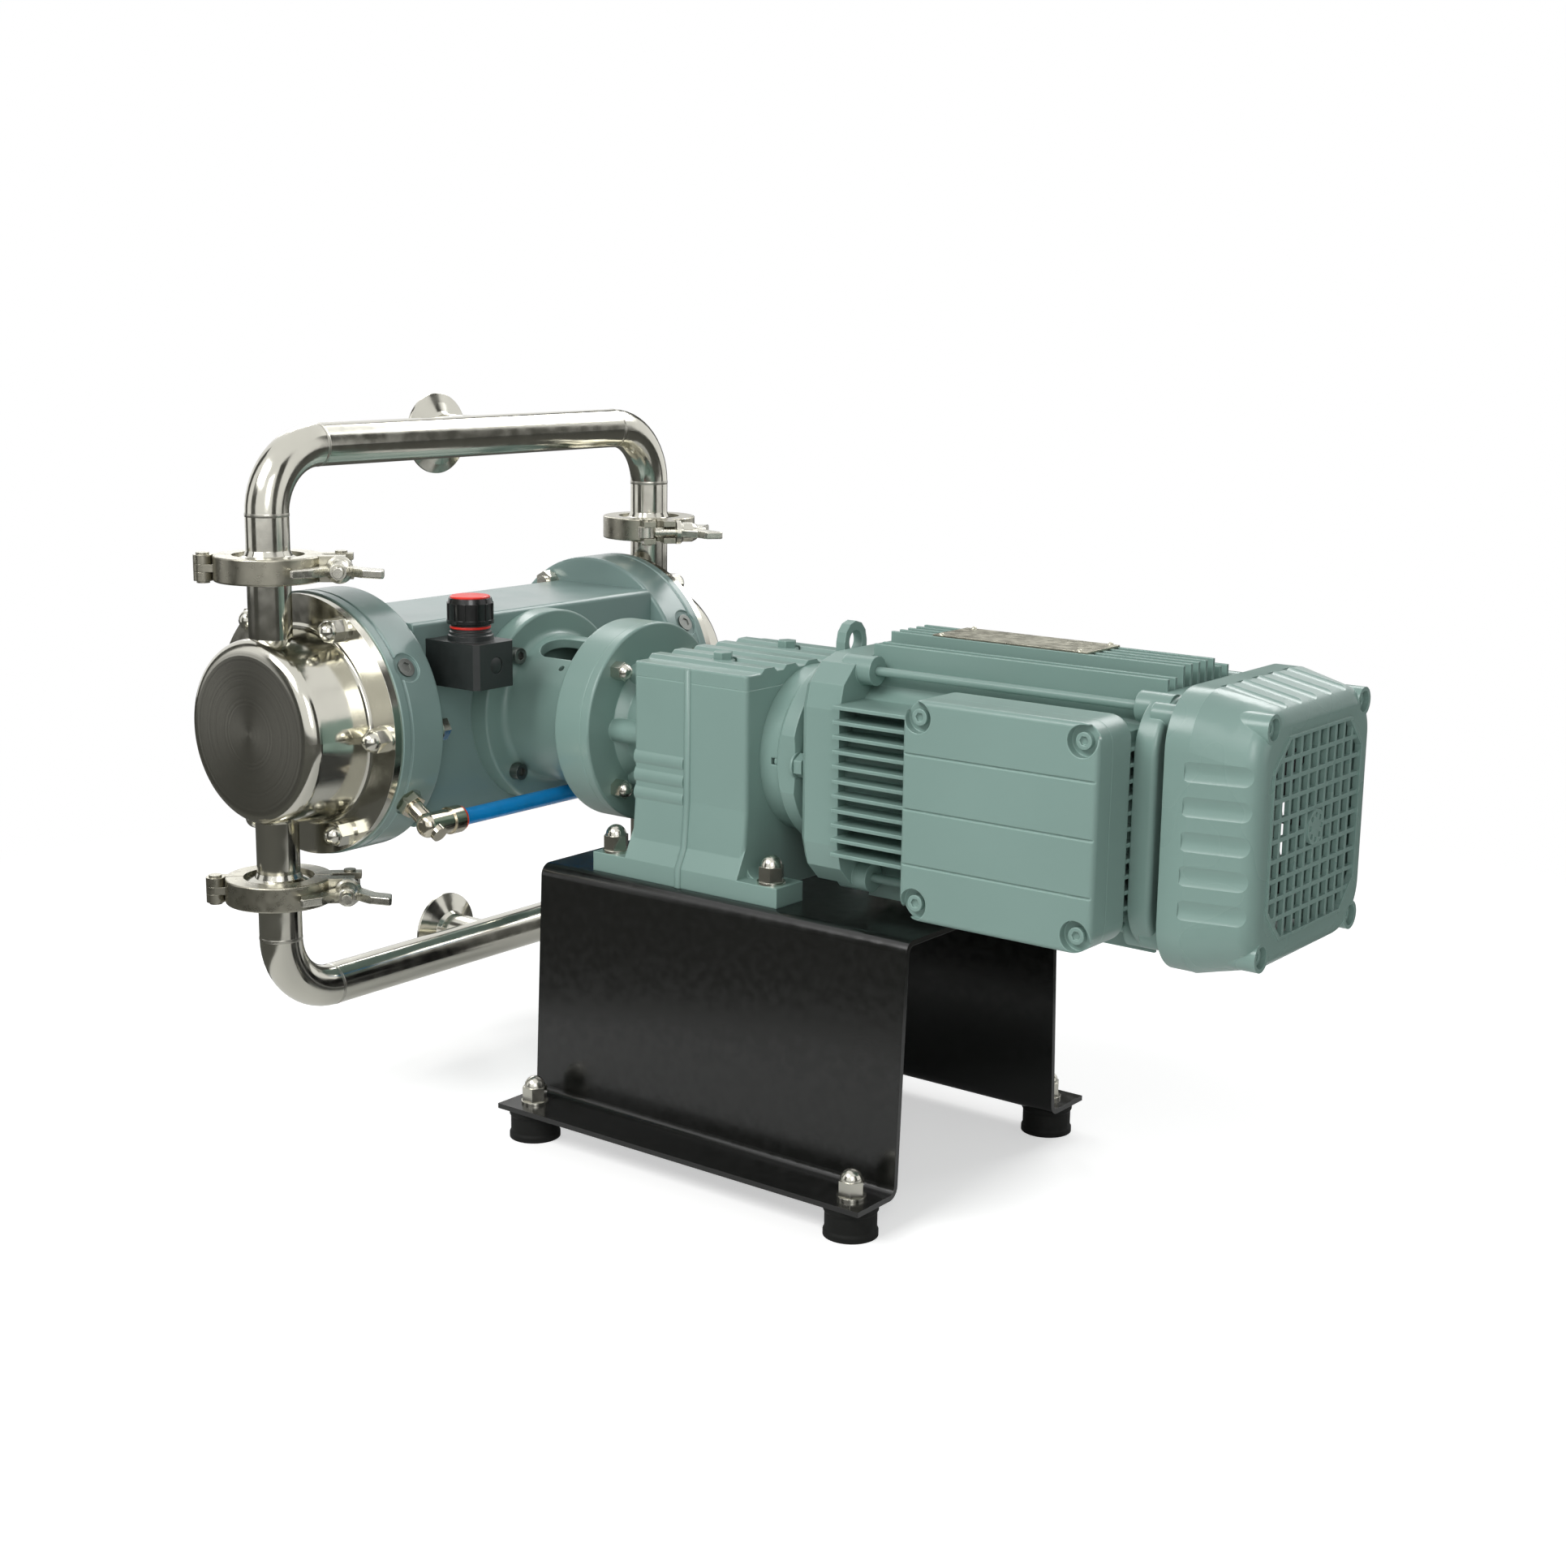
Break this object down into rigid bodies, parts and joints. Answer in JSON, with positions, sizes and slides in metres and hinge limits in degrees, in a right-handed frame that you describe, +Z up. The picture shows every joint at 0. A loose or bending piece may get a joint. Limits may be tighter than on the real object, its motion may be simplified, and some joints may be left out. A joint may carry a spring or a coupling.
{
  "type": "motor-driven diaphragm pump",
  "caption": "Double-diaphragm pump driven by an electric gear motor, on a bent sheet stand, with looped stainless manifolds, hinged pipe clamps and a small air regulator.",
  "frame": {"origin": "floor under the middle of the object, at the underside of the rubber feet", "axes": "+X from the pump towards the motor's fan, +Y along the pump axis, +Z up"},
  "size_m": [0.657, 0.3992, 0.4252],
  "materials": {
    "grey_paint": "semi-gloss",
    "polished_stainless": "polished",
    "satin_stainless": "satin",
    "cast_stainless": "blasted and polished",
    "black_powder_coat": "semi-gloss",
    "black_rubber": "matte",
    "machined_steel": "ground",
    "zinc_steel": "plated",
    "copper_winding": "enamelled copper",
    "black_plastic": "gloss",
    "fan_plastic": "matte",
    "terminal_plastic": "matte",
    "black_anodised": "black anodised",
    "red_plastic": "gloss",
    "orange_plastic": "gloss",
    "blue_tube": "gloss",
    "nickel_brass": "nickel-plated",
    "seat_rubber": "white elastomer",
    "ball_rubber": "black elastomer",
    "diaphragm_rubber": "white elastomer",
    "rating_plate": "bare satin"
  },
  "bodies": {
    "base": {"air_tube": "blue_tube", "bearings": "machined_steel", "body_block": "grey_paint", "clamp_halves": "cast_stainless", "diaphragms": "diaphragm_rubber", "elbow_fittings": "nickel_brass", "fan_guard": "grey_paint", "far_disc": "grey_paint", "far_head": "polished_stainless", "front_endshield": "grey_paint", "gear_case": "grey_paint", "gear_cover": "grey_paint", "head_bolts": "polished_stainless", "lantern": "grey_paint", "lower_manifold": "polished_stainless", "motor_adapter": "grey_paint", "motor_screws": "grey_paint", "nameplate": "rating_plate", "near_disc": "grey_paint", "near_head": "polished_stainless", "rear_endshield": "grey_paint", "regulator_block": "black_anodised", "release_collars": "orange_plastic", "rubber_feet": "black_rubber", "seals": "seat_rubber", "socket_screws": "zinc_steel", "stainless_nuts": "polished_stainless", "stand": "black_powder_coat", "stator_housing": "grey_paint", "stator_winding": "copper_winding", "terminal_board": "terminal_plastic", "terminal_box": "grey_paint", "terminal_cover": "grey_paint", "tie_rods": "grey_paint", "upper_manifold": "polished_stainless"},
    "rotor": {"rotor": "machined_steel", "fan": "fan_plastic"},
    "intermediate": {"intermediate_shaft": "machined_steel", "intermediate_wheel": "machined_steel"},
    "output": {"output_shaft": "machined_steel", "output_wheel": "machined_steel", "coupling": "machined_steel", "eccentric_shaft": "machined_steel"},
    "crosshead": {"crosshead": "machined_steel", "diaphragm_plates": "machined_steel"},
    "spindle": {"knob_spindle": "machined_steel"},
    "knob": {"regulator_knob": "black_plastic", "knob_cap": "red_plastic"},
    "ball_near_suction": {"ball_near_suction": "ball_rubber"},
    "bolt_near_suction": {"swing_bolt_near_suction": "satin_stainless"},
    "nut_near_suction": {"wing_nut_near_suction": "satin_stainless"},
    "ball_near_discharge": {"ball_near_discharge": "ball_rubber"},
    "bolt_near_discharge": {"swing_bolt_near_discharge": "satin_stainless"},
    "nut_near_discharge": {"wing_nut_near_discharge": "satin_stainless"},
    "ball_far_suction": {"ball_far_suction": "ball_rubber"},
    "bolt_far_suction": {"swing_bolt_far_suction": "satin_stainless"},
    "nut_far_suction": {"wing_nut_far_suction": "satin_stainless"},
    "ball_far_discharge": {"ball_far_discharge": "ball_rubber"},
    "bolt_far_discharge": {"swing_bolt_far_discharge": "satin_stainless"},
    "nut_far_discharge": {"wing_nut_far_discharge": "satin_stainless"}
  },
  "joints": [
    {"name": "rotor_spin", "type": "hinge", "parent": "base", "child": "rotor", "pos_m": [0, 0, 0.236], "axis": [1, 0, 0], "continuous": true},
    {"name": "intermediate_spin", "type": "hinge", "parent": "base", "child": "intermediate", "pos_m": [0, 0, 0.203], "axis": [1, 0, 0], "continuous": true},
    {"name": "output_spin", "type": "hinge", "parent": "base", "child": "output", "pos_m": [0, 0, 0.236], "axis": [1, 0, 0], "continuous": true},
    {"name": "crosshead_slide", "type": "slide", "parent": "base", "child": "crosshead", "axis": [0, 1, 0], "range_m": [-0.005, 0.005]},
    {"name": "regulator_turn", "type": "hinge", "parent": "base", "child": "spindle", "pos_m": [-0.1745, -0.0805, 0.29], "axis": [0, 0, 1], "range_deg": [-360, 360]},
    {"name": "knob_lock", "type": "slide", "parent": "spindle", "child": "knob", "axis": [0, 0, 1], "range_m": [-0.0025, 0]},
    {"name": "valve_lift_near_suction", "type": "slide", "parent": "base", "child": "ball_near_suction", "axis": [0, 0, 1], "range_m": [0, 0.008]},
    {"name": "bolt_swing_near_suction", "type": "hinge", "parent": "base", "child": "bolt_near_suction", "pos_m": [-0.22617, -0.13335, 0.1405], "axis": [0, 0, 1], "range_deg": [0, 100]},
    {"name": "nut_spin_near_suction", "type": "hinge", "parent": "bolt_near_suction", "child": "nut_near_suction", "pos_m": [-0.22617, -0.13335, 0.1405], "axis": [0.7071, -0.7071, 0], "continuous": true},
    {"name": "valve_lift_near_discharge", "type": "slide", "parent": "base", "child": "ball_near_discharge", "axis": [0, 0, 1], "range_m": [0, 0.008]},
    {"name": "bolt_swing_near_discharge", "type": "hinge", "parent": "base", "child": "bolt_near_discharge", "pos_m": [-0.22617, -0.13335, 0.3315], "axis": [0, 0, 1], "range_deg": [0, 100]},
    {"name": "nut_spin_near_discharge", "type": "hinge", "parent": "bolt_near_discharge", "child": "nut_near_discharge", "pos_m": [-0.22617, -0.13335, 0.3315], "axis": [0.7071, -0.7071, 0], "continuous": true},
    {"name": "valve_lift_far_suction", "type": "slide", "parent": "base", "child": "ball_far_suction", "axis": [0, 0, 1], "range_m": [0, 0.008]},
    {"name": "bolt_swing_far_suction", "type": "hinge", "parent": "base", "child": "bolt_far_suction", "pos_m": [-0.22323, 0.13552, 0.1405], "axis": [0, 0, -1], "range_deg": [0, 100]},
    {"name": "nut_spin_far_suction", "type": "hinge", "parent": "bolt_far_suction", "child": "nut_far_suction", "pos_m": [-0.22323, 0.13552, 0.1405], "axis": [0.6428, 0.766, 0], "continuous": true},
    {"name": "valve_lift_far_discharge", "type": "slide", "parent": "base", "child": "ball_far_discharge", "axis": [0, 0, 1], "range_m": [0, 0.008]},
    {"name": "bolt_swing_far_discharge", "type": "hinge", "parent": "base", "child": "bolt_far_discharge", "pos_m": [-0.22323, 0.13552, 0.3315], "axis": [0, 0, -1], "range_deg": [0, 100]},
    {"name": "nut_spin_far_discharge", "type": "hinge", "parent": "bolt_far_discharge", "child": "nut_far_discharge", "pos_m": [-0.22323, 0.13552, 0.3315], "axis": [0.6428, 0.766, 0], "continuous": true}
  ],
  "couplings": [
    {"joint": "intermediate_spin", "follows": "rotor_spin", "ratio": -0.33333},
    {"joint": "output_spin", "follows": "rotor_spin", "ratio": 0.13978}
  ]
}
